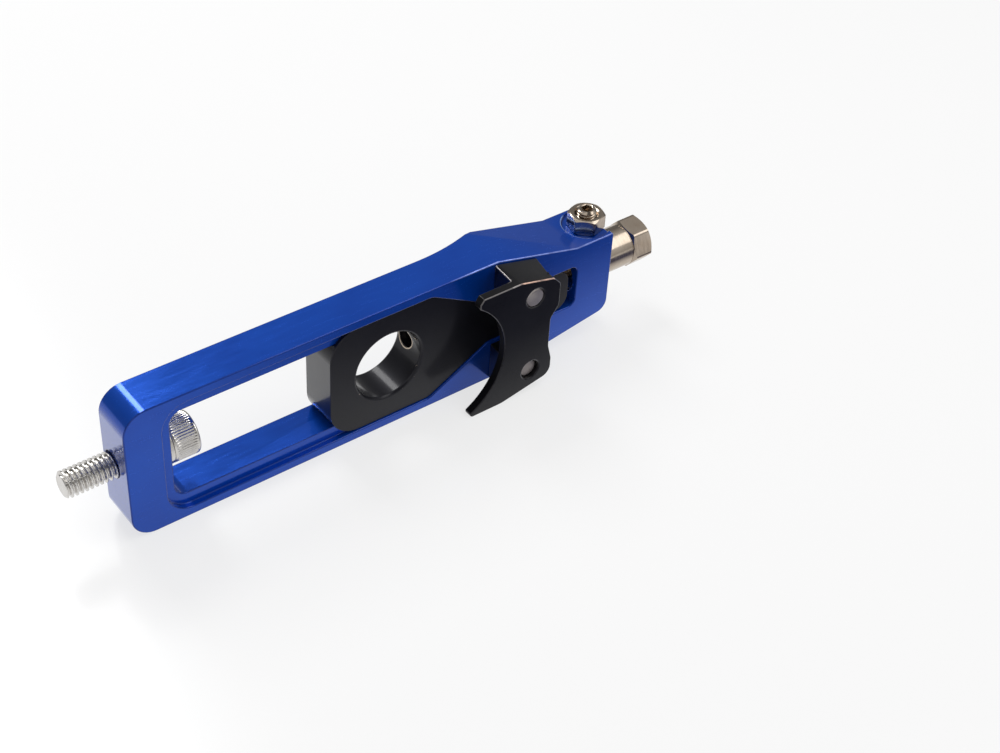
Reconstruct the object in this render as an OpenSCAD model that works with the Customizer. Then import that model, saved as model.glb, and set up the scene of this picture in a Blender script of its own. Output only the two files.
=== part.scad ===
// Chain adjuster for a motorcycle swingarm, for the end that carries the rear axle.
// A slotted frame bolts into the swingarm; an axle block slides in its window and is
// drawn along by a long adjuster screw, which a lock screw holds in place.
// X runs along the frame from the front bolt to the adjuster screw, Y runs from the
// hook side to the far side, Z is up. The origin is where the front bolt's axis leaves
// the frame's end face. The modules draw from the end face, the hook-side face and the
// underside, and "placed" moves each finished node to the origin.

/* [Frame] */
// Length of the frame, end face to end face
frame_len = 208; // [200:1:225]
// Height of the frame's rails, outside to outside
frame_h = 55; // [53:1:62]
// Depth of the rails
rail_d = 17; // [16.5:0.5:20]
// Depth of the head that carries the adjuster screw
head_d = 21.6; // [20.5:0.1:25]
// Radius of the hollow sweep from the rails' back to the head's back
sweep_r = 82; // [50:1:100]
// Radius of the two outer corners at the bolted end
corner_r = 9; // [4:0.5:12]
// Height of each rail at the hook-side face
rail_front_h = 3.7; // [3:0.1:5]
// Height of the step from the window's rim down to its narrower back opening
ledge_h = 5; // [3:0.1:6]
// Depth of the rim before that step
ledge_d = 2.4; // [2:0.1:4]
// Thickness of the bolted end at the hook-side face
end_wall = 14; // [10:0.5:18]
// Radius of the window's corners at the bolted end
window_r = 10; // [6:0.5:11]

/* [Head] */
// Length over which the frame tapers and forms the head, from its end face
head_len = 56; // [52:1:62]
// How far the head's top lies below the rails' top
head_drop = 9.5; // [6:0.5:12]
// Length of the level land on top, where the lock nut sits
land_len = 18; // [16:0.5:22]
// How far the head's underside lies above the rails' underside, at its end
head_rise = 9.3; // [5:0.1:11]
// Radius of the lower corner at the head's end
head_corner_r = 5; // [2:0.5:7]
// Wall between the slot's end and the head's end face
head_wall = 17; // [14:0.5:22]
// Height of the narrow slot that takes the block's neck
slot_h = 18.6; // [17.5:0.1:20]
// Length of the narrow slot
slot_len = 41.5; // [38:0.5:48]
// Length over which the window narrows to the slot
narrow_len = 26.5; // [22:0.5:30]
// Radius of the slot's corners
slot_r = 3; // [1:0.5:4]

/* [Axle block] */
// Diameter of the axle's bore
axle_d = 28; // [20:0.5:30]
// Length of the block's full-height part
block_len = 43; // [41:0.5:60]
// Distance from the block's left face to the axle's centre
bore_inset = 25.2; // [23:0.1:27]
// How far the block's faces lie inside the frame's, front
block_set = 0.7; // [0.4:0.1:1.2]
// How far the block's back face lies inside the rails' back face
block_back_set = 0.2; // [0:0.1:2]
// Gap between the block and each wall that it slides along
slide_gap = 0.2; // [0.1:0.05:0.4]
// Gap left at the taper when the block is drawn fully in
seat_gap = 0.4; // [0.2:0.1:1]
// Gap between the neck's tip and the slot's end when drawn fully in
neck_gap = 3.4; // [1:0.1:4]
// Radius of the block's corners
block_r = 12; // [8:0.5:14]
// Radius of the neck's tip corners
neck_r = 6; // [2:0.5:7]
// Width of the chamfer round the bore's mouths
bore_chamfer = 0.8; // [0.3:0.1:1.5]

/* [Adjuster screw] */
// Depth of the screws' common axis behind the hook-side face
axis_y = 10.8; // [10:0.1:11.2]
// Thread diameter of the adjuster screw
thread_d = 8; // [6:0.5:9]
// Diameter of the plain shank that turns in the head
shank_d = 16.7; // [15:0.1:17]
// Length of the shank that stands out of the head
shank_out = 14.5; // [10:0.1:20]
// Hexagon's width across its flats
hex_af = 17; // [17:0.5:19]
// Hexagon's length
hex_len = 9; // [7:0.1:14]
// Gap between the screw's tip and the axle's bore
tip_gap = 2.8; // [1:0.1:4]
// Radial clearance of a plain shaft in its hole
run_clear = 0.05; // [0.03:0.01:0.09]

/* [Lock screw] */
// Distance of the lock screw from the head's end face
lock_inset = 5.2; // [5:0.1:8]
// Thread diameter of the lock screw
lock_d = 8; // [6:0.5:8]
// Lock nut's width across its flats
nut_af = 13; // [12:0.5:14]
// Lock nut's height
nut_h = 6.5; // [4:0.1:8]
// How far the lock screw stands out of its nut
lock_out = 1.5; // [0.5:0.1:4]
// Width of the hexagon socket in the lock screw
lock_key = 4; // [3:0.5:5]
// Depth of the round seat that is cut for the nut
seat_depth = 1.3; // [0.5:0.1:3]
// Diameter of the lock screw's dog point
dog_d = 5.5; // [4:0.5:6]
// Depth of the groove in the shank that the dog point runs in
groove_depth = 1.5; // [1:0.1:1.6]
// Gap between the dog point and the groove's floor and sides
dog_gap = 0.3; // [0.2:0.05:0.5]

/* [Front bolt] */
// Thread diameter of the front bolt
bolt_d = 10; // [8:0.5:10.5]
// Length of the front bolt under its head
bolt_len = 38; // [35:1:60]
// Width of the relief between its plain shank and its thread
relief_w = 1.5; // [1:0.1:3]
// Depth of that relief
relief_depth = 0.8; // [0.5:0.1:1]
// Diameter of its cap head
bolt_head_d = 16; // [13:0.5:16.5]
// Height of its cap head
bolt_head_h = 10; // [8:0.5:12]
// Width of the hexagon socket in its head
bolt_key = 8; // [6:0.5:9]
// Outer diameter of the washer under the head
washer_d = 16; // [15:0.2:18]
// Thickness of the washer
washer_t = 1.6; // [1:0.1:2.5]

/* [Hook] */
// Thickness of the hook's plate
hook_t = 3.6; // [3:0.1:6]
// Distance from the frame's face to the plate's back
hook_stand = 10.6; // [6:0.1:14]
// Radius of the hook's hollow edge
hook_r = 28.6; // [27.5:0.1:29]
// Distance from the hook screws back to that hollow edge's centre
hollow_back = 41.6; // [41:0.1:43]
// How far that centre lies below the frame's middle
hollow_drop = 0.9; // [0:0.1:2]
// Distance from the hook screws back to the lower horn's tip
horn_back = 27.5; // [26:0.5:29]
// How far the hook's top edge lies below the frame's top
hook_top_set = 0.9; // [0.5:0.1:2]
// Distance of the hook screws from the start of the head's taper
hook_pin_step = 7; // [5:0.5:9]
// Distance of the hook screws from the slot's edges
hook_pin_gap = 7.8; // [7.6:0.1:8.4]
// Width of the two feet where they meet the plate
foot_w = 17.5; // [16:0.1:20]
// How much wider the feet are where they stand on the frame
foot_flare = 2.7; // [0:0.1:3]
// How far the plate's right edge swells beyond its waist
hook_swell = 3.5; // [0:0.1:4]
// Thread diameter of the hook screws
hook_screw_d = 8; // [6:0.5:8]
// How far the upper hook screw's end lies below the plate's face
screw_set_top = 0.2; // [0.1:0.1:2]
// How far the lower hook screw's end lies below the plate's face
screw_set_low = 1.8; // [0.1:0.1:2]
// Depth of the hook screws' head seats behind the hook-side face
hook_seat_y = 11.6; // [10:0.1:14]
// Head diameter of the hook screws
hook_head_d = 13; // [10:0.5:13]
// Head height of the hook screws
hook_head_h = 8; // [5:0.5:9]

/* [Hidden] */

$fn = 64;
eps = 0.01;
reach = 1;
arc_steps = 10;

taper_x = frame_len - head_len;
window_mid = frame_h / 2;
axis_z = window_mid;
window_half = frame_h / 2 - rail_front_h;
back_half = window_half - ledge_h;
slot_half = slot_h / 2;
slot_end = frame_len - head_wall;
narrow_end = slot_end - slot_len;
narrow_x = narrow_end - narrow_len;
narrow_slope = (window_half - slot_half) / narrow_len;
land_x = frame_len - land_len;
head_top = frame_h - head_drop;
end_ledge = 4;
bolt_wall = end_wall + end_ledge;
sweep_past = 3;
wide_blend_r = 6;
throat_blend_r = 4;

block_half = window_half - slide_gap;
neck_half = slot_half - slide_gap;
block_taper_x = narrow_x - seat_gap + slide_gap / narrow_slope;
block_taper_end = narrow_end - seat_gap + slide_gap / narrow_slope;
block_left = block_taper_x - block_len;
bore_x = block_left + bore_inset;
block_right = slot_end - neck_gap;
block_back = rail_d - block_back_set;
flange_back = ledge_d - slide_gap;
shank_set = 1.5;
screw_tip_x = bore_x + axle_d / 2 + tip_gap;
shank_in_x = slot_end + shank_set;
hex_x = frame_len + shank_out;

dog_rise = 1;
nut_room = 1.9;
nut_sink = 0.9;
lock_x = frame_len - lock_inset;
nut_seat_z = head_top - seat_depth;
lock_top_z = nut_seat_z + nut_h + lock_out;
groove_r = shank_d / 2 - groove_depth;
dog_tip_z = axis_z + groove_r + dog_gap;
dog_base_z = axis_z + shank_d / 2 + dog_rise;
seat_r = nut_af / sqrt(3) + nut_room;
nut_turn = 17;
hex_turn = 40;
edge = 0.5;
tip_chamfer = 0.9;
washer_play = 0.6;

washer_x = bolt_wall;
bolt_seat_x = washer_x + washer_t;

hook_face = -(hook_stand + hook_t);
hook_pin_x = taper_x + hook_pin_step;
hook_pin_top = window_mid + slot_half + hook_pin_gap;
hook_pin_low = window_mid - slot_half - hook_pin_gap;
hook_cx = hook_pin_x - hollow_back;
hook_cz = window_mid - hollow_drop;
hook_top = frame_h - hook_top_set;
hook_rise_x = taper_x - 6;
hook_rise_slope = 0.2;
hook_waist = hook_pin_x + 8.1;
horn_x = hook_pin_x - horn_back;
horn_top_step = 2.2;
horn_nose = 1.5;
horn_nose_h = 2;
foot_set = 1;
hook_screw_play = 0.6;
counterbore_play = 0.8;

blue = [0.10, 0.25, 0.66];
black = [0.17, 0.17, 0.19];
nickel = [0.72, 0.69, 0.64];
zinc = [0.80, 0.80, 0.78];

// Height of the hook's upper and lower edges at a place along X.
function hook_top_at(x) = x < taper_x ? hook_top
    : hook_top - (x - taper_x) * head_drop / (land_x - taper_x);
function hook_under_at(x) = max(0, (x - hook_rise_x) * hook_rise_slope);

// Direction from one point to another.
function unit(a, b) = (b - a) / norm(b - a);

// Points of the arc that rounds corner b, between its neighbours a and c.
function corner_arc(a, b, c, r) =
    let (
        u = unit(b, a),
        v = unit(b, c),
        half = acos(u * v) / 2,
        run = r / tan(half),
        centre = b + (u + v) / norm(u + v) * r / sin(half),
        p = b + u * run - centre,
        q = b + v * run - centre,
        from = atan2(p.y, p.x),
        turn = atan2(q.y, q.x) - from,
        sweep = turn > 180 ? turn - 360 : turn < -180 ? turn + 360 : turn
    )
    [for (i = [0 : arc_steps]) centre + r * [
        cos(from + sweep * i / arc_steps),
        sin(from + sweep * i / arc_steps)
    ]];

// Outline through corners given as [x, z, radius]; radius 0 keeps a corner sharp.
function rounded(corners) =
    let (n = len(corners))
    [for (i = [0 : n - 1])
        let (
            a = corners[(i + n - 1) % n],
            b = corners[i],
            c = corners[(i + 1) % n]
        )
        each b.z == 0 ? [[b.x, b.y]]
            : corner_arc([a.x, a.y], [b.x, b.y], [c.x, c.y], b.z)];

// Moves a finished node from the drawing corner to the origin.
module placed() {
    translate([0, -axis_y, -axis_z])
        children();
}

// A side outline, drawn in X and Z, made solid from depth y0 to depth y1.
module slab(corners, y0, y1) {
    translate([0, y1, 0])
        rotate([90, 0, 0])
            linear_extrude(y1 - y0)
                polygon(rounded(corners));
}

// A round bar along X, from x0 to x1, on the screws' common axis.
module bar_x(x0, x1, d) {
    translate([x0, axis_y, axis_z])
        rotate([0, 90, 0])
            cylinder(d = d, h = x1 - x0);
}

// A hexagonal prism along Z, turned by an angle, with both ends turned to a chamfer.
module hexagon(af, h, turn) {
    face_r = af / 2 * 0.97;
    outer_r = af / sqrt(3) + reach;
    fall = (outer_r - face_r) * tan(30);
    intersection() {
        rotate([0, 0, turn])
            cylinder(r = af / sqrt(3), h = h, $fn = 6);
        rotate_extrude()
            polygon([
                [0, 0], [face_r, 0], [outer_r, fall],
                [outer_r, h - fall], [face_r, h], [0, h]
            ]);
    }
}

// A round bar along Z whose end edges are chamfered.
module turned_bar(d, h, chamfer) {
    rotate_extrude()
        polygon([
            [0, 0], [d / 2 - chamfer, 0], [d / 2, chamfer],
            [d / 2, h - chamfer], [d / 2 - chamfer, h], [0, h]
        ]);
}

// A round bar along Z with a chamfer at its foot only.
module stud(d, h, chamfer) {
    rotate_extrude()
        polygon([[0, 0], [d / 2 - chamfer, 0], [d / 2, chamfer], [d / 2, h], [0, h]]);
}

// A cap head along Z: its bearing face at 0, its socket in the far end.
module cap_head(d, h, key) {
    difference() {
        turned_bar(d, h, d * 0.045);
        translate([0, 0, h / 2])
            cylinder(d = key * 2 / sqrt(3), h = h, $fn = 6);
    }
}

// The side outline of the whole frame.
frame_corners = [
    [0, 0, corner_r],
    [taper_x, 0, 0],
    [frame_len, head_rise, head_corner_r],
    [frame_len, head_top, 1],
    [land_x, head_top, 0],
    [taper_x, frame_h, 0],
    [0, frame_h, corner_r]
];

// The window at the hook-side face: rails, taper and slot in one outline.
window_corners = [
    [end_wall, window_mid - window_half, window_r],
    [narrow_x, window_mid - window_half, wide_blend_r],
    [narrow_end, window_mid - slot_half, throat_blend_r],
    [slot_end, window_mid - slot_half, slot_r],
    [slot_end, window_mid + slot_half, slot_r],
    [narrow_end, window_mid + slot_half, throat_blend_r],
    [narrow_x, window_mid + window_half, wide_blend_r],
    [end_wall, window_mid + window_half, window_r]
];

// The band that the back opening and the block's back part keep to.
function back_band(half, x0, r) = [
    [x0, window_mid - half, r],
    [frame_len, window_mid - half, 0],
    [frame_len, window_mid + half, 0],
    [x0, window_mid + half, r]
];

module frame_body() {
    intersection() {
        slab(frame_corners, 0, head_d);
        difference() {
            cube([frame_len, head_d, frame_h]);
            translate([-reach, rail_d, -reach])
                cube([sweep_start() + reach, head_d, frame_h + 2 * reach]);
            translate([sweep_start(), rail_d + sweep_r, -reach])
                cylinder(r = sweep_r, h = frame_h + 2 * reach);
        }
    }
}

// The sweep reaches the head's full depth a little past the start of the taper.
function sweep_start() =
    let (rise = head_d - rail_d)
    taper_x + sweep_past - sqrt(sweep_r * sweep_r - (sweep_r - rise) * (sweep_r - rise));

module window() {
    slab(window_corners, -reach, ledge_d);
    intersection() {
        slab(window_corners, -reach, head_d + reach);
        slab(back_band(back_half, bolt_wall, window_r - ledge_h), ledge_d - eps, head_d + reach);
    }
}

module hook_screw_holes() {
    for (z = [hook_pin_top, hook_pin_low])
        translate([hook_pin_x, 0, z])
            rotate([-90, 0, 0]) {
                translate([0, 0, -reach])
                    cylinder(d = hook_screw_d + hook_screw_play, h = head_d + 2 * reach);
                translate([0, 0, hook_seat_y])
                    cylinder(d = hook_head_d + counterbore_play, h = head_d);
            }
}

module nut_seat() {
    translate([lock_x, axis_y, nut_seat_z])
        cylinder(r = seat_r, h = frame_h);
}

module frame() {
    color(blue) placed()
        difference() {
            frame_body();
            window();
            bar_x(-reach, bolt_wall + reach, bolt_d + 2 * run_clear);
            bar_x(slot_end - reach, frame_len + reach, shank_d + 2 * run_clear);
            translate([lock_x, axis_y, axis_z])
                cylinder(d = lock_d + 2 * run_clear, h = frame_h);
            nut_seat();
            hook_screw_holes();
        }
}

block_corners = [
    [block_left, window_mid - block_half, block_r],
    [block_taper_x, window_mid - block_half, wide_blend_r],
    [block_taper_end, window_mid - neck_half, throat_blend_r],
    [block_right, window_mid - neck_half, neck_r],
    [block_right, window_mid + neck_half, neck_r],
    [block_taper_end, window_mid + neck_half, throat_blend_r],
    [block_taper_x, window_mid + block_half, wide_blend_r],
    [block_left, window_mid + block_half, block_r]
];

module axle_block() {
    color(black) placed()
        difference() {
            union() {
                slab(block_corners, block_set, flange_back);
                intersection() {
                    slab(block_corners, block_set, block_back);
                    slab(back_band(back_half - slide_gap, block_left, 0), block_set, block_back);
                }
            }
            translate([bore_x, block_set, window_mid])
                rotate([-90, 0, 0])
                    axle_bore();
            bar_x(bore_x, block_right + reach, thread_d + 2 * run_clear);
        }
}

// The axle's bore along Z, with a chamfer at both mouths.
module axle_bore() {
    depth = block_back - block_set;
    translate([0, 0, -reach])
        cylinder(d = axle_d, h = depth + 2 * reach);
    translate([0, 0, -eps])
        cylinder(d1 = axle_d + 2 * bore_chamfer, d2 = axle_d, h = bore_chamfer);
    translate([0, 0, depth - bore_chamfer + eps])
        cylinder(d1 = axle_d, d2 = axle_d + 2 * bore_chamfer, h = bore_chamfer);
}

module adjuster_screw() {
    groove_w = dog_d + 2 * dog_gap;
    groove_end = lock_x + groove_w / 2;
    color(nickel) placed()
        translate([0, axis_y, axis_z])
            rotate([0, 90, 0]) {
                translate([0, 0, screw_tip_x])
                    stud(thread_d, shank_in_x - screw_tip_x + reach, tip_chamfer);
                translate([0, 0, shank_in_x])
                    turned_bar(shank_d, groove_end - groove_w - shank_in_x, edge);
                translate([0, 0, groove_end - groove_w - reach])
                    cylinder(r = groove_r, h = groove_w + 2 * reach);
                translate([0, 0, groove_end])
                    turned_bar(shank_d, hex_x - groove_end + reach, edge);
                translate([0, 0, hex_x])
                    hexagon(hex_af, hex_len, hex_turn);
            }
}

module lock_screw() {
    color(nickel) placed()
        translate([lock_x, axis_y, 0])
            difference() {
                union() {
                    translate([0, 0, dog_tip_z])
                        cylinder(d = dog_d, h = dog_base_z - dog_tip_z + reach);
                    translate([0, 0, dog_base_z])
                        turned_bar(lock_d, lock_top_z - dog_base_z, tip_chamfer);
                }
                translate([0, 0, lock_top_z - lock_key])
                    cylinder(d = lock_key * 2 / sqrt(3), h = lock_key + reach, $fn = 6);
            }
}

module lock_nut() {
    color(nickel) placed()
        translate([lock_x, axis_y, nut_seat_z])
            difference() {
                hexagon(nut_af, nut_h, nut_turn);
                translate([0, 0, -reach])
                    cylinder(d = lock_d + 2 * run_clear, h = nut_h + 2 * reach);
                translate([0, 0, nut_h - nut_sink])
                    cylinder(d1 = lock_d, d2 = lock_d + 2 * nut_sink + 2 * eps, h = nut_sink + eps);
            }
}

module front_bolt() {
    color(zinc) placed()
        translate([bolt_seat_x, axis_y, axis_z])
            rotate([0, 90, 0]) {
                cap_head(bolt_head_d, bolt_head_h, bolt_key);
                translate([0, 0, relief_w - bolt_seat_x])
                    cylinder(d = bolt_d, h = bolt_seat_x - relief_w + reach);
                translate([0, 0, -bolt_seat_x - reach])
                    cylinder(d = bolt_d - 2 * relief_depth, h = relief_w + 2 * reach);
                translate([0, 0, -bolt_len])
                    stud(bolt_d, bolt_len - bolt_seat_x, tip_chamfer);
            }
}

module front_washer() {
    color(zinc) placed()
        translate([washer_x, axis_y, axis_z])
            rotate([0, 90, 0])
                difference() {
                    cylinder(d = washer_d, h = washer_t);
                    translate([0, 0, -reach])
                        cylinder(d = bolt_d + washer_play, h = washer_t + 2 * reach);
                }
}

// The plate's right edge swells round each screw and is waisted between them.
low_bulge = hook_waist + hook_swell / 2;
top_bulge = hook_waist + hook_swell;
nose_x = horn_x + horn_top_step;
hook_corners = [
    [horn_x, 0, 1.2],
    [hook_rise_x, 0, 20],
    [low_bulge, hook_under_at(low_bulge), 4.5],
    [low_bulge, hook_pin_low + 1.5, 4],
    [hook_waist, hook_pin_low + 8, 5],
    [hook_waist, hook_pin_top - 13, 3],
    [top_bulge, hook_pin_top - 8, 3],
    [top_bulge, hook_pin_top + 2, 3],
    [hook_waist, hook_top_at(hook_waist), 1],
    [taper_x, hook_top, 0],
    [nose_x + horn_nose, hook_top, 0.5],
    [nose_x, hook_top - horn_nose_h, 0.5],
    [nose_x, window_mid, 0]
];

// The outline that both feet keep to.
foot_corners = [
    [hook_rise_x, 0, 0],
    [frame_len, hook_under_at(frame_len), 0],
    [frame_len, hook_top_at(frame_len), 0],
    [taper_x, hook_top, 0],
    [hook_rise_x, hook_top, 0]
];

module hook_foot(z0, z1) {
    left = hook_pin_x - foot_w / 2 - 0.6;
    right = left + foot_w;
    intersection() {
        translate([0, 0, z0])
            linear_extrude(z1 - z0)
                polygon([
                    [left, -hook_stand - eps], [right, -hook_stand - eps],
                    [right + foot_flare, 0], [left + 0.8, 0]
                ]);
        slab(foot_corners, -hook_stand - eps, 0);
    }
}

module hook() {
    foot_gap = slot_half + foot_set;
    color(black) placed()
        difference() {
            union() {
                slab(hook_corners, hook_face, -hook_stand);
                hook_foot(0, window_mid - foot_gap);
                hook_foot(window_mid + foot_gap, frame_h);
            }
            translate([hook_cx, 0, hook_cz])
                rotate([90, 0, 0])
                    cylinder(r = hook_r, h = -hook_face + reach);
            for (z = [hook_pin_top, hook_pin_low])
                translate([hook_pin_x, hook_face - reach, z])
                    rotate([-90, 0, 0]) {
                        cylinder(d = hook_screw_d, h = -hook_face + 2 * reach);
                        cylinder(d1 = hook_screw_d + 2, d2 = hook_screw_d, h = reach + 0.4);
                    }
        }
}

// A hook screw: its thread's end lies below the plate's face, its head at the back.
module hook_screw(z, set) {
    tip = hook_face + set;
    color(zinc) placed()
        translate([hook_pin_x, 0, z])
            rotate([-90, 0, 0]) {
                translate([0, 0, tip])
                    stud(hook_screw_d, hook_seat_y - tip + reach, edge);
                translate([0, 0, hook_seat_y])
                    cap_head(hook_head_d, hook_head_h, hook_screw_d * 0.75);
            }
}

module hook_screw_top() {
    hook_screw(hook_pin_top, screw_set_top);
}

module hook_screw_low() {
    hook_screw(hook_pin_low, screw_set_low);
}

frame();
axle_block();
adjuster_screw();
lock_screw();
lock_nut();
front_bolt();
front_washer();
hook();
hook_screw_top();
hook_screw_low();
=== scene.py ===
import math

import bmesh
import bpy
from mathutils import Matrix, Vector

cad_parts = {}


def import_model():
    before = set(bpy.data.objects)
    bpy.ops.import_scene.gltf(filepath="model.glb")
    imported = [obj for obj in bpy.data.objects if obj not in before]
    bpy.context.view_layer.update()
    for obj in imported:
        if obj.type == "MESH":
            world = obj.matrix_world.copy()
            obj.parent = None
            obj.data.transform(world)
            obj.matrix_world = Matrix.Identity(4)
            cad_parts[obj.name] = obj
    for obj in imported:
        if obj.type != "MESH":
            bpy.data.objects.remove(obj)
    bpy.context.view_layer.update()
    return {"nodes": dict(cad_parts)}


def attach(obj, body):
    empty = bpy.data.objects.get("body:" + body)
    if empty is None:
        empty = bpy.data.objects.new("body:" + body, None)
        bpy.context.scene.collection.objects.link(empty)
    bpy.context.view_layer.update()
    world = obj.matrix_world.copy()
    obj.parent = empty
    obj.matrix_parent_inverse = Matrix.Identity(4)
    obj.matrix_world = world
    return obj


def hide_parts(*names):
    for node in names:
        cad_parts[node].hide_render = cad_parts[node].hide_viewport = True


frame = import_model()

MM = 0.001
FULL_TURN = 2 * math.pi
MAP_RANGE = ("From Min", "From Max", "To Min", "To Max")

# Places on the frame that the pieces are fitted to, in millimetres, and the pitch of the M8 threads.
FLOOR = -27.5           # the frame's lower side
LOCK_X = 202.8          # the lock screw's axis
POCKET_FLOOR = 16.7     # where the lock nut sits
BOLT_SEAT = 19.6        # under the front bolt's head
FINE_PITCH = 1.25


def linear(r, g, b):
    """A colour written as 8-bit display values, as linear light."""
    def light(c):
        return c / 255 / 12.92 if c <= 10 else ((c / 255 + 0.055) / 1.055) ** 2.4

    return light(r), light(g), light(b), 1.0


def scaled(colour, factor):
    """A colour made lighter or darker, opaque."""
    return tuple(min(1.0, c * factor) for c in colour[:3]) + (1.0,)


# ---------------------------------------------------------------- materials

class Nodes:
    """A short way to write a material's node tree."""

    def __init__(self, name):
        self.mat = bpy.data.materials.new(name)
        self.mat.use_nodes = True
        self.tree = self.mat.node_tree
        self.tree.nodes.clear()
        self.out = self.tree.nodes.new("ShaderNodeOutputMaterial")
        self.shader = self.tree.nodes.new("ShaderNodeBsdfPrincipled")
        self.tree.links.new(self.shader.outputs[0], self.out.inputs[0])
        self.coord = self.tree.nodes.new("ShaderNodeTexCoord").outputs["Object"]

    def feed(self, socket, value):
        """Links an output to a socket, or sets the socket to a plain value."""
        if hasattr(value, "is_output"):
            self.tree.links.new(value, socket)
        else:
            socket.default_value = value

    def add(self, kind, **inputs):
        node = self.tree.nodes.new("ShaderNode" + kind)
        for key, value in inputs.items():
            self.feed(node.inputs[key.replace("_", " ")], value)
        return node

    def set(self, **inputs):
        for key, value in inputs.items():
            self.feed(self.shader.inputs[key.replace("_", " ")], value)

    def noise(self, scale, detail, roughness, stretch=(1, 1, 1)):
        """Noise over the object's own coordinates, stretched by a scale along each axis."""
        where = self.add("Mapping", Vector=self.coord, Scale=stretch).outputs[0]
        node = self.add("TexNoise", Vector=where, Scale=scale, Detail=detail, Roughness=roughness)
        return node.outputs["Fac"]

    def ramp(self, factor, low, high, start, end):
        """A factor from start to end, remapped to numbers from low to high."""
        node = self.add("MapRange", Value=factor)
        for key, value in zip(MAP_RANGE, (start, end, low, high)):
            node.inputs[key].default_value = value
        return node.outputs[0]

    def blend(self, factor, a, b):
        """A mix of two colours."""
        node = self.tree.nodes.new("ShaderNodeMix")
        node.data_type = "RGBA"
        for index, value in ((0, factor), (6, a), (7, b)):
            self.feed(node.inputs[index], value)
        return node.outputs[2]

    def maths(self, operation, a, b):
        node = self.tree.nodes.new("ShaderNodeMath")
        node.operation = operation
        self.feed(node.inputs[0], a)
        self.feed(node.inputs[1], b)
        return node.outputs[0]

    def times(self, a, b):
        return self.maths("MULTIPLY", a, b)

    def along(self, axis):
        """The object coordinate along X, Y or Z."""
        return self.add("SeparateXYZ", Vector=self.coord).outputs[axis]

    def band(self, axis, low, high, soft):
        """1 where the coordinate lies between two bounds in millimetres, with soft sides."""
        value = self.along(axis)
        up = self.ramp(value, 0.0, 1.0, (low - soft) * MM, (low + soft) * MM)
        down = self.ramp(value, 1.0, 0.0, (high - soft) * MM, (high + soft) * MM)
        return self.times(up, down)

    def region(self, *bands):
        """1 inside a box; each band is an axis, its two bounds and the softness of its sides."""
        inside = self.band(*bands[0])
        for band in bands[1:]:
            inside = self.times(inside, self.band(*band))
        return inside

    def clouded(self, scale, detail, a, b):
        """Two tones that change into each other over a coarse noise; returns the noise and the tint."""
        cloud = self.noise(scale, detail, 0.6)
        return cloud, self.blend(self.ramp(cloud, 0.0, 1.0, 0.3, 0.7), a, b)

    def gloss(self, front, side, rough_low, rough_high, grain):
        """A clear skin that gains gloss towards grazing view, with a roughness that follows a grain."""
        facing = self.add("LayerWeight", Blend=0.5).outputs["Facing"]
        self.set(Coat_Weight=self.ramp(facing, front, side, 0.38, 0.66),
                 Coat_IOR=self.ramp(facing, 1.5, 2.1, 0.45, 0.75),
                 Coat_Roughness=self.ramp(grain, rough_low, rough_high, 0.3, 0.7))

    def bump(self, height, strength, microns):
        node = self.add("Bump", Strength=strength, Distance=microns * 1e-6, Height=height)
        self.set(Normal=node.outputs[0])


def anodised(name, deep, bright, rough, edge=False):
    """Blue anodised aluminium: dyed metal with a fine grain under a glossy skin.

    As an edge it is a darker blue, with a painted highlight along the top front of the head and another on
    the left wall of the nut's pocket.
    """
    m = Nodes(name)
    _, tint = m.clouded(28.0, 3.0, deep, bright)
    fine = m.noise(2400.0, 2.0, 0.6)
    mill = m.noise(700.0, 3.0, 0.5, (0.12, 1.0, 1.0))
    tint = m.blend(m.ramp(fine, 0.0, 0.16, 0.5, 0.8), tint, scaled(bright, 1.4))
    if edge:
        # Painted highlight: a paler blue along the head's top front edge, broken up by noise.
        head = m.region(("X", 136, 208.5, 6), ("Y", -11.5, -10.2, 0.1), ("Z", 16.5, 30, 0.3))
        highlight_breakup = m.ramp(m.noise(260.0, 3.0, 0.6), 0.55, 1.0, 0.4, 0.62)
        tint = m.blend(m.times(head, highlight_breakup), tint, linear(140, 160, 236))
        # Painted highlight on the left wall of the nut's pocket.
        pocket_highlight = m.region(("X", 190, 198.5, 0.8), ("Z", 17.1, 20, 0.2), ("Y", -9, 9, 0.5))
        tint = m.blend(pocket_highlight, tint, linear(150, 182, 246))
    m.set(Base_Color=tint, Metallic=0.45, Specular_IOR_Level=0.1)
    m.gloss(0.45, 1.0, 0.05, 0.11, mill)
    m.set(Roughness=m.ramp(m.times(mill, fine), rough - 0.05, rough + 0.12, 0.1, 0.5))
    m.bump(m.blend(0.2, fine, mill), 0.12, 10)
    return m.mat


def black_anodised(name, edge=False):
    """Black anodised aluminium; its edges are a little paler, and bright where the skin has chipped."""
    m = Nodes(name)
    cloud, tint = m.clouded(45.0, 3.0, linear(20, 20, 26), linear(27, 27, 34))
    fine = m.noise(2600.0, 2.0, 0.6)
    if edge:
        chips = m.ramp(m.noise(310.0, 3.0, 0.6), 0.0, 1.0, 0.66, 0.72)
        cross_hole = m.region(("X", 113.5, 120.5, 0.4), ("Z", -5, 5, 0.2), ("Y", -5, 5, 0.2))
        tint = m.blend(m.ramp(fine, 0.1, 0.4, 0.3, 0.7), tint, linear(62, 62, 67))
        tint = m.blend(chips, tint, linear(190, 172, 160))
        tint = m.blend(cross_hole, tint, linear(214, 210, 204))
    m.set(Base_Color=tint, Metallic=0.3, Specular_IOR_Level=0.15)
    m.gloss(0.3, 0.8, 0.1, 0.2, fine)
    m.set(Roughness=m.ramp(m.times(cloud, fine), 0.36, 0.52, 0.1, 0.5))
    m.bump(fine, 0.25, 12)
    return m.mat


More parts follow.
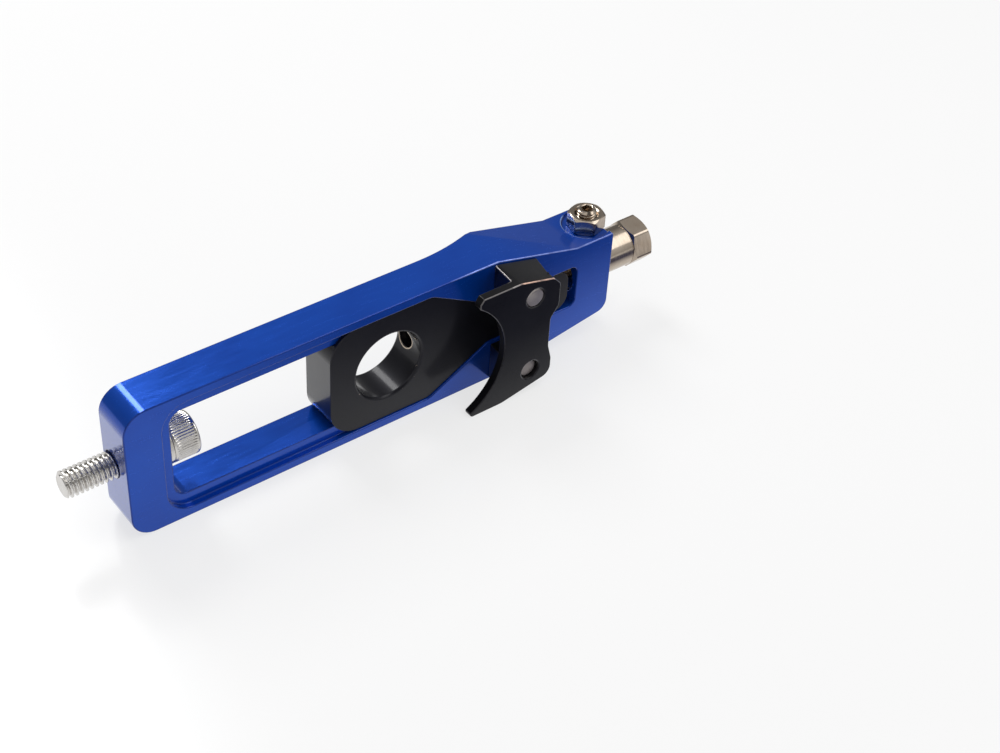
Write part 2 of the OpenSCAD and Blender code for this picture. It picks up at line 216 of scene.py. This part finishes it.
def plated(name, tone, warm, rough):
    """Nickel or zinc plate over turned steel: fine rings, a little warmth and small stains."""
    m = Nodes(name)
    _, tint = m.clouded(90.0, 4.0, tone, warm)
    rings = m.noise(900.0, 3.0, 0.7, (1.0, 0.15, 0.15))
    stain = m.noise(240.0, 5.0, 0.7)
    tint = m.blend(m.ramp(stain, 0.0, 0.3, 0.6, 0.85), tint, scaled(warm, 0.6))
    m.set(Base_Color=tint, Metallic=1.0, Roughness=m.ramp(rings, rough - 0.05, rough + 0.1, 0.3, 0.7))
    m.bump(rings, 0.2, 12)
    return m.mat


def blackened(name, edge=False):
    """Glossy blackened steel; its edges are paler in patches, with a painted highlight along the top front,
    copper-tinted in patches, and a brighter painted highlight on the foot's top left edge.
    """
    m = Nodes(name)
    cloud, tint = m.clouded(60.0, 4.0, linear(18, 18, 22), linear(27, 27, 31))
    fine = m.noise(1800.0, 2.0, 0.6)
    if edge:
        patch = m.ramp(m.noise(500.0, 4.0, 0.7), 0.25, 1.0, 0.35, 0.6)
        # Painted highlight: the top front edges go paler grey, with a copper tint in patches.
        top = m.region(("Z", 22.2, 40, 0.3), ("Y", -30, -23.8, 0.3))
        copper_highlight = m.times(top, m.band("X", 151.5, 168, 1))
        # Painted highlight on the foot's top left edge.
        foot = m.region(("X", 148, 151.3, 0.3), ("Z", 23.5, 30, 0.3))
        tint = m.blend(m.times(patch, 0.22), tint, linear(100, 98, 100))
        tint = m.blend(m.times(top, 0.45), tint, linear(150, 145, 144))
        tint = m.blend(m.times(foot, 0.7), tint, linear(176, 170, 168))
        # Painted warm copper highlight along the plate's top front edge.
        tint = m.blend(m.times(copper_highlight, patch), tint, linear(238, 196, 176))
    m.set(Base_Color=tint, Metallic=0.5, Specular_IOR_Level=0.15)
    m.gloss(0.25, 1.0, 0.05, 0.12, fine)
    m.set(Roughness=m.ramp(m.times(cloud, fine), 0.26, 0.42, 0.1, 0.5))
    m.bump(fine, 0.16, 10)
    return m.mat


BLUE = anodised("blue_anodised", linear(5, 68, 174), linear(9, 77, 187), 0.2)
BLUE_EDGE = anodised("blue_anodised_edge", linear(4, 50, 140), linear(7, 60, 155), 0.2, True)
BLACK = black_anodised("black_anodised")
BLACK_EDGE = black_anodised("black_anodised_edge", True)
NICKEL = plated("nickel_plate", linear(186, 174, 160), linear(170, 154, 137), 0.15)
ZINC = plated("zinc_plate", linear(220, 218, 215), linear(200, 196, 190), 0.18)
STEEL = plated("dull_steel", linear(196, 190, 186), linear(182, 174, 168), 0.5)
HOOK = blackened("black_steel")
HOOK_EDGE = blackened("black_steel_edge", True)


# ---------------------------------------------------------------- mesh code

def piece(name, bm, material, body, replaces=(), smooth_angle=32):
    """Finishes a bmesh as a piece of the object that rides on a body."""
    bmesh.ops.remove_doubles(bm, verts=bm.verts, dist=1e-7)
    bmesh.ops.recalc_face_normals(bm, faces=bm.faces)
    mesh = bpy.data.meshes.new(name)
    bm.to_mesh(mesh)
    bm.free()
    obj = bpy.data.objects.new(name, mesh)
    bpy.context.scene.collection.objects.link(obj)
    mesh.materials.append(material)
    mesh.shade_smooth()
    mesh.set_sharp_from_angle(angle=math.radians(smooth_angle))
    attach(obj, body)
    if replaces:
        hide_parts(*replaces)


def place(axis, origin=(0, 0, 0)):
    """Matrix that stands a form drawn along Z on an origin, along the named axis, in millimetres."""
    turn = {"x": Matrix.Rotation(math.radians(90), 4, "Y"),
            "y": Matrix.Rotation(math.radians(-90), 4, "X"),
            "z": Matrix.Identity(4)}[axis]
    return Matrix.Scale(MM, 4) @ Matrix.Translation(Vector(origin)) @ turn


def ring(bm, matrix, columns, point, turn=0.0):
    """A ring of verts round Z; point gives the radius and the height at an angle."""
    verts = []
    for k in range(columns):
        a = turn + FULL_TURN * k / columns
        r, z = point(a)
        verts.append(bm.verts.new(matrix @ Vector((r * math.cos(a), r * math.sin(a), z))))
    return verts


def join(bm, rings):
    """Faces between each ring and the next."""
    for low, high in zip(rings, rings[1:]):
        for k in range(len(low)):
            n = (k + 1) % len(low)
            bm.faces.new((low[k], low[n], high[n], high[k]))


def stack(bm, points, matrix, columns, closed_low):
    """A skin over rings from low to high, open at its upper end; returns the rings."""
    rings = [ring(bm, matrix, columns, point) for point in points]
    join(bm, rings)
    if closed_low:
        bm.faces.new(rings[0])
    return rings


def revolve(bm, rows, radius, matrix, columns, closed_low=True):
    """A form whose radius changes with height and angle; rows are its heights."""
    points = [lambda a, z=z: (radius(z, a), z) for z in rows]
    return stack(bm, points, matrix, columns, closed_low)


def lathe(bm, profile, matrix, columns, closed_low=False):
    """A turned form from (radius, height) points."""
    points = [lambda a, p=p: p for p in profile]
    return stack(bm, points, matrix, columns, closed_low)


def ridge(turns):
    """Height of a thread's profile, 0 at the root and 1 at the crest, at a number of turns along it."""
    root, flank = 0.16, 0.62
    t = abs((turns % 1.0) - 0.5) * 2
    return min(1.0, max(0.0, (t - root) / flank))


def thread(bm, z0, z1, r, pitch, matrix, per_turn, columns, lead=0.0, tail=0.0, closed_low=True):
    """A right-hand outer thread; lead and tail are the chamfers at its two ends."""
    depth_share = 0.61      # the depth of a metric thread, as a share of its pitch
    depth = depth_share * pitch
    n = round((z1 - z0) / pitch * per_turn)

    def radius(z, a):
        out = r - depth * (1 - ridge(z / pitch - a / FULL_TURN))
        if lead and z - z0 < lead:
            out = min(out, r - lead + (z - z0))
        if tail and z1 - z < tail:
            out = min(out, r - tail + (z1 - z))
        return out

    rows = [z0 + (z1 - z0) * i / n for i in range(n + 1)]
    return revolve(bm, rows, radius, matrix, columns, closed_low)


def hexagon(bm, af, z0, z1, matrix, turn, closed=True):
    """A hexagon whose ends are turned to a 30 degree cone: exact flats between exact cones.

    Its corners are cut a little. Returns its rings from low to high.
    """
    columns, corner, cone_start = 144, 0.98, 0.955
    inner = af / 2 * cone_start
    slope = math.tan(math.radians(30))

    def flats(end, sign):
        def point(a):
            off = (a - turn) % (math.pi / 3) - math.pi / 6
            side = min(af / 2 / math.cos(off), af / math.sqrt(3) * corner)
            return side, end + sign * (side - inner) * slope
        return point

    rings = [ring(bm, matrix, columns, point, turn)
             for point in (lambda a: (inner, z0), flats(z0, 1), flats(z1, -1), lambda a: (inner, z1))]
    join(bm, rings)
    if closed:
        bm.faces.new(rings[0])
        bm.faces.new(rings[-1])
    return rings


def socket(bm, rim, key, depth, z, matrix):
    """A face at z with a hexagon socket sunk in it; rim is the face's outer ring."""
    lead_in, lead_depth, drill_tip = 0.35, 0.3, 0.16
    columns = len(rim)

    def walls(height):
        return lambda a: (key / 2 / math.cos(a % (math.pi / 3) - math.pi / 6), height)

    lead = ring(bm, matrix, columns, lambda a: (key / math.sqrt(3) + lead_in, z))
    mouth = ring(bm, matrix, columns, walls(z - lead_depth))
    floor_ring = ring(bm, matrix, columns, walls(z - depth))
    join(bm, (rim, lead, mouth, floor_ring))
    tip = bm.verts.new(matrix @ Vector((0, 0, z - depth - key * drill_tip)))
    for k in range(columns):
        bm.faces.new((floor_ring[k], floor_ring[(k + 1) % columns], tip))


# ---------------------------------------------------------------- the solid forms

def dress(name, materials, width, mends=()):
    """Keeps a node's own shape, with its edges broken and its materials on: faces first, then edges."""
    obj = frame["nodes"][name]
    obj.data.materials.clear()
    for material in materials:
        obj.data.materials.append(material)
    weld = obj.modifiers.new("weld", "WELD")
    weld.merge_threshold = 2e-6
    flat = obj.modifiers.new("flat", "DECIMATE")
    flat.decimate_type = "DISSOLVE"
    flat.angle_limit = math.radians(0.6)
    edge = obj.modifiers.new("edge", "BEVEL")
    edge.width = width * MM
    edge.segments = 3
    edge.limit_method = "ANGLE"
    edge.angle_limit = math.radians(40)
    edge.use_clamp_overlap = False
    edge.miter_outer = "MITER_ARC"
    edge.material = len(materials) - 1
    for tests, axis, value in mends:
        gather(obj, tests, axis, value)
    smooth = obj.modifiers.new("normals", "WEIGHTED_NORMAL")
    smooth.keep_sharp = True
    obj.data.shade_smooth()


def gather(obj, tests, axis, value):
    """Sets one coordinate of the points that the bevel throws out past two bounds, in millimetres."""
    tree = bpy.data.node_groups.new("gather", "GeometryNodeTree")
    for in_out in ("INPUT", "OUTPUT"):
        tree.interface.new_socket("Geometry", in_out=in_out, socket_type="NodeSocketGeometry")
    start, end = tree.nodes.new("NodeGroupInput"), tree.nodes.new("NodeGroupOutput")
    parts = tree.nodes.new("ShaderNodeSeparateXYZ")
    tree.links.new(tree.nodes.new("GeometryNodeInputPosition").outputs[0], parts.inputs[0])
    both = tree.nodes.new("FunctionNodeBooleanMath")
    for i, (along, operation, bound) in enumerate(tests):
        compare = tree.nodes.new("FunctionNodeCompare")
        compare.data_type, compare.operation = "FLOAT", operation
        tree.links.new(parts.outputs[along], compare.inputs[0])
        compare.inputs[1].default_value = bound * MM
        tree.links.new(compare.outputs[0], both.inputs[i])
    target = tree.nodes.new("ShaderNodeCombineXYZ")
    for name in "XYZ":
        if name == axis:
            target.inputs[name].default_value = value * MM
        else:
            tree.links.new(parts.outputs[name], target.inputs[name])
    move = tree.nodes.new("GeometryNodeSetPosition")
    tree.links.new(start.outputs[0], move.inputs["Geometry"])
    tree.links.new(both.outputs[0], move.inputs["Selection"])
    tree.links.new(target.outputs[0], move.inputs["Position"])
    tree.links.new(move.outputs[0], end.inputs[0])
    obj.modifiers.new("gather", "NODES").node_group = tree


def solid_forms():
    """The nodes that keep their own shape."""
    past_end_face = (("X", "GREATER_THAN", 208.01), ("Z", "LESS_THAN", 30.0)), "X", 208.0
    above_head = (("X", "GREATER_THAN", 195.0), ("Z", "GREATER_THAN", 18.01)), "Z", 18.0
    past_low_corner = (("X", "GREATER_THAN", 169.5), ("Z", "LESS_THAN", -20.5)), "X", 167.2
    dress("frame", [BLUE, BLUE_EDGE], 0.45, [past_end_face, above_head])
    dress("axle_block", [BLACK, BLACK_EDGE], 0.3)
    dress("hook", [HOOK, HOOK_EDGE], 0.4, [past_low_corner])
    dress("front_washer", [ZINC], 0.25)


# ---------------------------------------------------------------- the pieces that are drawn anew

def front_bolt():
    """The cap screw at the front: thread, relief, plain shank and a knurled head with a socket."""
    tip, shank_start, shank, relief, coarse_pitch = -18.4, 1.5, 5.0, 4.2, 1.8
    head, height, corner, flat, key, key_depth = 8.0, 10.0, 0.72, 6.1, 8.0, 5.0
    teeth, tooth, knurl_start, knurl_fade = 50, 0.13, 0.1, 0.08
    bm = bmesh.new()
    m = place("x")
    thread(bm, tip, 0.0, shank, coarse_pitch, m, per_turn=20, columns=96, lead=0.9)
    lathe(bm, [(relief, -0.6), (relief, shank_start), (shank, shank_start), (shank, BOLT_SEAT + 0.5)], m, 96)

    def knurled(z, a):
        """The head's radius: rounded at both ends, with teeth that fade in and out between them."""
        t = (z - BOLT_SEAT) / height
        inward = min(t, 1 - t)
        fade = min(1.0, max(0.0, (inward - knurl_start) / knurl_fade))
        past_corner = max(0.0, corner - inward * height)
        round_off = corner - math.sqrt(max(0.0, corner ** 2 - past_corner ** 2))
        return head - round_off - fade * tooth * (1 - math.cos(teeth * a))

    # Heights as shares of the head's, closer where its radius changes; the upper half mirrors the lower.
    half = (0, 0.012, 0.03, 0.06, 0.1, 0.14, 0.18, 0.3)
    shares = half + (0.5,) + tuple(1 - share for share in reversed(half))
    rows = [BOLT_SEAT + height * share for share in shares]
    rim = revolve(bm, rows, knurled, m, teeth * 8)[-1]
    top = ring(bm, m, 72, lambda a: (flat, BOLT_SEAT + height))
    edges = [bm.edges.get((rim[k - 1], rim[k])) for k in range(len(rim))]
    edges += [bm.edges.new((top[k - 1], top[k])) for k in range(len(top))]
    bmesh.ops.bridge_loops(bm, edges=edges)
    socket(bm, top, key, key_depth, BOLT_SEAT + height, m)
    piece("front_bolt_piece", bm, ZINC, "mount_bolt", ["front_bolt"], 38)


def adjuster_screw():
    """The long screw: thread, sleeve with its groove, and hexagon."""
    radius, sleeve, groove, half_groove, break_edge = 4.0, 16.7 / 2, 6.85, 3.05, 0.3
    thread_start, thread_end, near, far, across_flats = 122.0, 192.5, 222.5, 231.5, 17.0
    turn = math.radians(40)
    low, high = LOCK_X - half_groove, LOCK_X + half_groove
    bm = bmesh.new()
    m = place("x")
    thread(bm, thread_start, thread_end, radius, FINE_PITCH, m, per_turn=10, columns=48, lead=0.8)
    lathe(bm, [(radius - 0.7, thread_end - 0.1), (radius - 0.6, thread_end),
               (sleeve - 0.5, thread_end), (sleeve, thread_end + 0.5),
               (sleeve, low - break_edge), (sleeve - break_edge, low), (groove, low),
               (groove, high), (sleeve - break_edge, high), (sleeve, high + break_edge),
               (sleeve, near - 0.6), (sleeve - 0.25, near - 0.3), (sleeve - 0.25, near + 0.1)], m, 96)
    hexagon(bm, across_flats, near, far, m, turn)
    piece("adjuster_screw_piece", bm, NICKEL, "adjuster", ["adjuster_screw"], 26)


def lock_screw():
    """The grub screw, with its dog point and its socket."""
    top, base, tip = 25.3, 9.35, 7.15
    radius, shoulder, point, key, key_depth = 3.85, 3.2, 2.75, 4.0, 4.0
    bm = bmesh.new()
    m = place("z", (LOCK_X, 0, 0))
    lathe(bm, [(point - 0.3, tip), (point, tip + 0.3), (point, base), (shoulder, base)], m, 64, True)
    rings = thread(bm, base, top, radius, FINE_PITCH, m, per_turn=14, columns=72, lead=0.8, tail=0.9)
    socket(bm, rings[-1], key, key_depth, top, m)
    piece("lock_screw_piece", bm, NICKEL, "lock_pin", ["lock_screw"], 38)


def lock_nut():
    """The hexagon nut in its pocket, with a countersunk mouth."""
    across_flats, height, sink, hole_radius, mouth_radius = 13.0, 6.5, 0.9, 4.1, 4.9
    turn = math.radians(17)
    bm = bmesh.new()
    m = place("z", (LOCK_X, 0, POCKET_FLOOR))
    outer = hexagon(bm, across_flats, 0.0, height, m, turn, closed=False)
    columns = len(outer[0])
    hole = thread(bm, 0.0, height - sink, hole_radius, FINE_PITCH, m,
                  per_turn=14, columns=columns, closed_low=False)
    mouth = ring(bm, m, columns, lambda a: (mouth_radius, height))
    # The hexagon's rings are turned: shifted by as many columns, they start beside the hole's.
    shift = round(turn / FULL_TURN * columns)
    low, high = (level[-shift:] + level[:-shift] for level in (outer[0], outer[-1]))
    join(bm, (low, hole[0]))
    join(bm, (hole[-1], mouth, high))
    piece("lock_nut_piece", bm, NICKEL, "lock_ring", ["lock_nut"], 26)


def hook_screws():
    """The two socket screws of the hook: their ends show in its face, their heads at the back."""
    screws_x, screws_z, face, seat, thread_length = 159.0, 17.1, -25.0, 0.8, 15.0
    radius, head, head_height, key, key_depth = 4.0, 6.5, 8.0, 6.0, 4.0
    top = seat + head_height
    for name, z, sunk in (("top", screws_z, 0.2), ("low", -screws_z, 1.8)):
        bm = bmesh.new()
        m = place("y", (screws_x, 0, z))
        foot = face + sunk
        end = foot + thread_length
        thread(bm, foot, end, radius, FINE_PITCH, m, per_turn=12, columns=60, lead=0.5)
        lathe(bm, [(radius - 0.7, end - 0.1), (radius, end + 0.6), (radius, seat + 0.3)], m, 60)
        rings = lathe(bm, [(head - 0.3, seat), (head, seat + 0.3), (head, top - 0.7),
                           (head - 0.2, top - 0.2), (head - 0.7, top)], m, 72, True)
        socket(bm, rings[-1], key, key_depth, top, m)
        node = "hook_screw_" + name
        piece(node + "_piece", bm, STEEL, "frame_body", [node], 38)


def bore_lip():
    """The bare metal lip where the adjuster's tapped hole breaks into the axle's bore."""
    centre, bore, columns = 105.2, 14.0, 96
    # From inside the hole over the lip: each ring's radius, and how deep it lies in the bore's wall.
    profile = (4.06, 0.5), (4.06, -0.04), (4.3, -0.05), (4.55, -0.03), (4.6, 0.05)
    bm = bmesh.new()
    rings = []
    for r, depth in profile:
        verts = []
        for k in range(columns):
            a = FULL_TURN * k / columns
            y, z = r * math.cos(a), r * math.sin(a)
            x = centre + math.sqrt(bore ** 2 - z ** 2) + depth
            verts.append(bm.verts.new(Vector((x, y, z)) * MM))
        rings.append(verts)
    join(bm, rings)
    piece("bore_lip", bm, NICKEL, "axle_carrier", (), 40)


# ---------------------------------------------------------------- stage, light and camera

def floor():
    """A wide white floor; the camera and glossy rays see it nearly full white, with a faint shadow.

    In front of the head glossy rays see it darker: a painted dark reflection, as if the second adjuster lay
    there.
    """
    half_width, gap, own_light = 40.0, 0.05 * MM, 0.7
    # The painted dark reflection fades in and out along both axes, between places in metres from the floor's
    # centre.
    fades = (("X", 0.0, 1.0, -0.07, 0.03), ("X", 1.0, 0.0, 0.2, 0.3),
             ("Y", 0.0, 1.0, -0.018, -0.055), ("Y", 1.0, 0.0, -0.22, -0.3))
    bm = bmesh.new()
    bmesh.ops.create_grid(bm, x_segments=8, y_segments=8, size=half_width)
    mesh = bpy.data.meshes.new("floor")
    bm.to_mesh(mesh)
    bm.free()
    obj = bpy.data.objects.new("floor", mesh)
    obj.location = (0.1, 0, FLOOR * MM - gap)
    bpy.context.scene.collection.objects.link(obj)
    m = Nodes("floor_white")
    path = m.tree.nodes.new("ShaderNodeLightPath").outputs
    painted_dark_reflection = path["Is Glossy Ray"]
    for axis, low, high, start, end in fades:
        painted_dark_reflection = m.times(painted_dark_reflection, m.ramp(m.along(axis), low, high, start, end))
    # Glossy rays see a painted dark reflection over the patch; camera rays see the floor white.
    m.set(Base_Color=m.blend(painted_dark_reflection, (0.9, 0.9, 0.9, 1), linear(44, 46, 72)),
          Roughness=0.2, Specular_IOR_Level=0.5)
    white = m.add("Emission", Color=m.blend(painted_dark_reflection, (1, 1, 1, 1), linear(86, 88, 118)), Strength=1.0)
    seen = m.maths("MAXIMUM", path["Is Camera Ray"], path["Is Glossy Ray"])
    mix = m.tree.nodes.new("ShaderNodeMixShader")
    for index, value in enumerate((m.times(seen, own_light), m.shader.outputs[0], white.outputs[0])):
        m.tree.links.new(value, mix.inputs[index])
    m.tree.links.new(mix.outputs[0], m.out.inputs[0])
    mesh.materials.append(m.mat)


def lamp(name, at, target, along, size, radiance):
    """A soft box of a given radiance; its length lies along a direction."""
    data = bpy.data.lights.new(name, "AREA")
    data.shape = "RECTANGLE"
    data.size, data.size_y = size
    data.energy = radiance * math.pi * size[0] * size[1]
    obj = bpy.data.objects.new(name, data)
    back = (Vector(at) - Vector(target)).normalized()
    across = back.cross(Vector(along)).normalized()
    length = across.cross(back)
    turn = Matrix((length, across, back)).transposed().to_4x4()
    obj.matrix_world = Matrix.Translation(Vector(at)) @ turn
    bpy.context.scene.collection.objects.link(obj)


def sky_level(tree, coord, toward, start, end, low, high):
    """A level from low to high, as the direction looked at turns toward a given one."""
    dot = tree.nodes.new("ShaderNodeVectorMath")
    dot.operation = "DOT_PRODUCT"
    dot.inputs[1].default_value = toward
    level = tree.nodes.new("ShaderNodeMapRange")
    level.interpolation_type = "SMOOTHSTEP"
    for key, value in zip(MAP_RANGE, (start, end, low, high)):
        level.inputs[key].default_value = value
    tree.links.new(coord, dot.inputs[0])
    tree.links.new(dot.outputs["Value"], level.inputs["Value"])
    return level.outputs[0]


def world():
    """A studio: bright above and in front, dimmer behind, and dark where the photographer stands."""
    studio = bpy.data.worlds.new("studio")
    bpy.context.scene.world = studio
    studio.use_nodes = True
    tree = studio.node_tree
    tree.nodes.clear()
    out = tree.nodes.new("ShaderNodeOutputWorld")
    sky = tree.nodes.new("ShaderNodeBackground")
    coord = tree.nodes.new("ShaderNodeTexCoord").outputs["Generated"]
    both = tree.nodes.new("ShaderNodeMath")
    both.operation = "MULTIPLY"
    tree.links.new(sky_level(tree, coord, (0.0, -0.5, 0.866), 0.0, 1.0, 0.25, 1.1), both.inputs[0])
    tree.links.new(sky_level(tree, coord, (0.0, -0.72, 0.69), 0.86, 0.94, 1.0, 0.14), both.inputs[1])
    tree.links.new(both.outputs[0], sky.inputs["Strength"])
    tree.links.new(sky.outputs[0], out.inputs[0])


def camera():
    """The camera, solved from the photo's straight edges and circles."""
    data = bpy.data.cameras.new("camera")
    data.sensor_width = 36.0
    data.lens = 64.463
    data.shift_x, data.shift_y = -0.0008, -0.0436
    data.clip_start, data.clip_end = 0.01, 20.0
    obj = bpy.data.objects.new("camera", data)
    obj.matrix_world = Matrix(((0.793794, 0.353753, -0.494722, -0.17675),
                               (-0.606096, 0.527512, -0.595297, -0.41035),
                               (0.050384, 0.772392, 0.633145, 0.41776),
                               (0, 0, 0, 1)))
    bpy.context.scene.collection.objects.link(obj)
    bpy.context.scene.camera = obj


solid_forms()
bore_lip()
front_bolt()
adjuster_screw()
lock_screw()
lock_nut()
hook_screws()

floor()
world()
lamp("window", (0.15, 0.724, 0.83), (0.007, 0, 0.025), (0, 0.75, -0.66), (0.6, 0.3), 10.5)
lamp("softbox", (0.68, -0.36, 0.82), (0.17, 0, 0.02), (0, 0.9, 0.4), (0.95, 0.42), 1.8)
camera()
bpy.context.scene.view_settings.view_transform = "Standard"
